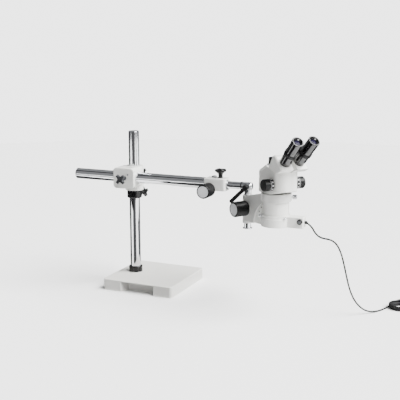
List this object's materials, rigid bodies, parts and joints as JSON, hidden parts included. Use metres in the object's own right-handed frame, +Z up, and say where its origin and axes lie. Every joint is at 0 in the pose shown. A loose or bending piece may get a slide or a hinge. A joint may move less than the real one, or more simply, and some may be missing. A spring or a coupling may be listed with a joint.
{
  "type": "trinocular stereo microscope",
  "caption": "Stereo microscope with trinocular port, zoom head and ring light, held by a telescoping boom on a column with a heavy square base.",
  "frame": {"origin": "centre of the base's underside, on the surface that it stands on", "axes": "+X along the boom from the column to the head, +Y away from the front, +Z up"},
  "size_m": [1.1031, 0.3946, 0.5466],
  "materials": {
    "white_iron": "gloss white enamel",
    "white_alloy": "gloss white enamel",
    "grey_alloy": "satin light grey enamel",
    "bare_alloy": "fine turned",
    "black_alloy": "satin black anodised",
    "chrome": "polished",
    "steel": "machined",
    "brass": "machined",
    "rubber": "matte",
    "black_plastic": "satin moulded",
    "grey_plastic": "satin moulded",
    "white_plastic": "satin moulded",
    "nylon": "natural",
    "lens_glass": "polished",
    "coated_glass": "coated",
    "board": "satin with lamps"
  },
  "bodies": {
    "stand": {"base_plate": "white_iron", "rubber_feet": "rubber", "column": "chrome", "base_collar": "black_plastic", "column_bolt": "steel"},
    "safety_collar": {"safety_collar": "black_alloy"},
    "collar_knob": {"collar_knob": "black_plastic"},
    "cross_block": {"cross_block": "white_alloy", "clamp_pads": "nylon", "block_set_screw": "steel"},
    "boom_lock_knob": {"boom_lock_knob": "grey_plastic"},
    "column_lock_knob": {"column_lock_knob": "black_plastic"},
    "boom": {"boom_tube": "chrome", "boom_end_plug": "black_plastic", "end_block": "white_alloy", "shaft_bushes": "steel", "travel_stop_screw": "steel"},
    "extension_lock_knob": {"extension_lock_knob": "black_plastic"},
    "rack_drive": {"rack_knob": "black_plastic", "rack_knob_disc": "bare_alloy", "extension_pinion": "brass"},
    "extension": {"inner_shaft": "chrome", "stop_ring": "black_plastic"},
    "elbow": {"elbow_head": "chrome", "pivot_pin": "chrome"},
    "clamp_lever": {"clamp_lever": "black_plastic"},
    "focus_mount": {"focus_block": "grey_alloy"},
    "focus_drive": {"focus_knobs": "black_plastic", "focus_knob_discs": "bare_alloy", "focus_pinion": "brass"},
    "carriage": {"ring_holder": "grey_alloy", "arm_web": "white_alloy", "focus_rack": "steel", "web_screws": "steel"},
    "ring_thumbscrew": {"ring_thumbscrew": "chrome"},
    "head": {"head_body": "white_alloy", "head_cover": "white_alloy", "barrel": "white_alloy", "objective_plate": "black_alloy", "objective_lenses": "lens_glass", "trinocular_port": "bare_alloy", "ring_light_housing": "white_plastic", "led_board": "board", "ring_light_screws": "chrome", "cord_gland": "rubber", "cord": "rubber", "cord_coil": "rubber", "cord_plug": "black_plastic"},
    "port_cap": {"port_cap": "black_plastic"},
    "zoom": {"zoom_knobs": "black_plastic", "zoom_shaft": "steel"},
    "left_tube": {"left_prism_housing": "white_alloy", "left_eyepiece": "black_alloy", "left_eye_lens": "coated_glass"},
    "right_tube": {"right_prism_housing": "white_alloy", "right_eyepiece": "black_alloy", "right_eye_lens": "coated_glass"},
    "left_diopter": {"left_diopter_ring": "black_plastic"},
    "right_diopter": {"right_diopter_ring": "black_plastic"},
    "dimmer": {"dimmer_knob": "black_plastic"}
  },
  "joints": [
    {"name": "height_slide", "type": "slide", "parent": "stand", "child": "safety_collar", "axis": [0, 0, 1], "range_m": [-0.21, 0.11]},
    {"name": "collar_knob_turn", "type": "hinge", "parent": "safety_collar", "child": "collar_knob", "pos_m": [-0.06366, 0.02366, 0.30325], "axis": [0.2588, 0.9659, 0], "range_deg": [0, 360]},
    {"name": "boom_swivel", "type": "hinge", "parent": "safety_collar", "child": "cross_block", "pos_m": [-0.07, 0, 0.33], "axis": [0, 0, 1], "continuous": true},
    {"name": "boom_lock_turn", "type": "hinge", "parent": "cross_block", "child": "boom_lock_knob", "pos_m": [-0.07, -0.066, 0.3655], "axis": [0, -1, 0], "range_deg": [0, 360]},
    {"name": "column_lock_turn", "type": "hinge", "parent": "cross_block", "child": "column_lock_knob", "pos_m": [-0.07, 0.03, 0.3655], "axis": [0, 1, 0], "range_deg": [0, 360]},
    {"name": "boom_slide", "type": "slide", "parent": "cross_block", "child": "boom", "axis": [1, 0, 0], "range_m": [-0.18, 0.13]},
    {"name": "extension_lock_turn", "type": "hinge", "parent": "boom", "child": "extension_lock_knob", "pos_m": [0.256, -0.04, 0.3845], "axis": [0, 0, 1], "range_deg": [0, 360]},
    {"name": "extension_slide", "type": "slide", "parent": "boom", "child": "extension", "axis": [1, 0, 0], "range_m": [-0.03, 0.15]},
    {"name": "rack_knob_turn", "type": "hinge", "parent": "boom", "child": "rack_drive", "pos_m": [0.227, -0.04, 0.35], "axis": [0, 1, 0], "range_deg": [-250, 1235]},
    {"name": "elbow_tilt", "type": "hinge", "parent": "extension", "child": "elbow", "pos_m": [0.34, -0.04, 0.3655], "axis": [1, 0, 0], "range_deg": [-45, 45]},
    {"name": "clamp_lever_turn", "type": "hinge", "parent": "elbow", "child": "clamp_lever", "pos_m": [0.35, -0.062, 0.3655], "axis": [0, 1, 0], "range_deg": [0, 40]},
    {"name": "mount_swivel", "type": "hinge", "parent": "elbow", "child": "focus_mount", "pos_m": [0.347, -0.04, 0.29], "axis": [0, 0, 1], "range_deg": [-12, 75]},
    {"name": "focus_slide", "type": "slide", "parent": "focus_mount", "child": "carriage", "axis": [0, 0, 1], "range_m": [-0.025, 0.02]},
    {"name": "focus_knob_turn", "type": "hinge", "parent": "focus_mount", "child": "focus_drive", "pos_m": [0.36855, -0.054, 0.3044], "axis": [0.5446, 0.8387, 0], "range_deg": [-240, 240]},
    {"name": "ring_thumbscrew_turn", "type": "hinge", "parent": "carriage", "child": "ring_thumbscrew", "pos_m": [0.50574, -0.09845, 0.3545], "axis": [0.9184, 0.3955, 0], "range_deg": [0, 360]},
    {"name": "head_turn", "type": "hinge", "parent": "carriage", "child": "head", "pos_m": [0.46441, -0.11625, 0.35], "axis": [0, 0, 1], "range_deg": [-170, 105]},
    {"name": "port_cap_lift", "type": "slide", "parent": "head", "child": "port_cap", "axis": [0, 0, 1], "range_m": [0, 0.03]},
    {"name": "zoom_turn", "type": "hinge", "parent": "head", "child": "zoom", "pos_m": [0.49199, -0.13939, 0.3993], "axis": [0.6428, 0.766, 0], "range_deg": [-135, 135]},
    {"name": "right_tube_swing", "type": "hinge", "parent": "head", "child": "right_tube", "pos_m": [0.4998, -0.12075, 0.44654], "axis": [0.1533, -0.1137, 0.9816], "range_deg": [-0.5, 5]},
    {"name": "left_tube_swing", "type": "hinge", "parent": "head", "child": "left_tube", "pos_m": [0.47499, -0.15032, 0.44654], "axis": [0.1385, -0.1312, 0.9816], "range_deg": [-5, 0.5]},
    {"name": "left_diopter_turn", "type": "hinge", "parent": "left_tube", "child": "left_diopter", "pos_m": [0.53457, -0.20674, 0.4976], "axis": [0.5223, -0.4946, 0.6947], "range_deg": [-180, 180]},
    {"name": "right_diopter_turn", "type": "hinge", "parent": "right_tube", "child": "right_diopter", "pos_m": [0.56571, -0.16962, 0.4976], "axis": [0.5778, -0.4285, 0.6947], "range_deg": [-180, 180]},
    {"name": "dimmer_turn", "type": "hinge", "parent": "head", "child": "dimmer", "pos_m": [0.54341, -0.13325, 0.2905], "axis": [0, -1, 0], "range_deg": [-135, 135]}
  ],
  "couplings": [
    {"joint": "rack_knob_turn", "follows": "extension_slide", "rad_per_m": 142.86},
    {"joint": "focus_knob_turn", "follows": "focus_slide", "rad_per_m": -166.67},
    {"joint": "left_tube_swing", "follows": "right_tube_swing", "ratio": -1}
  ]
}
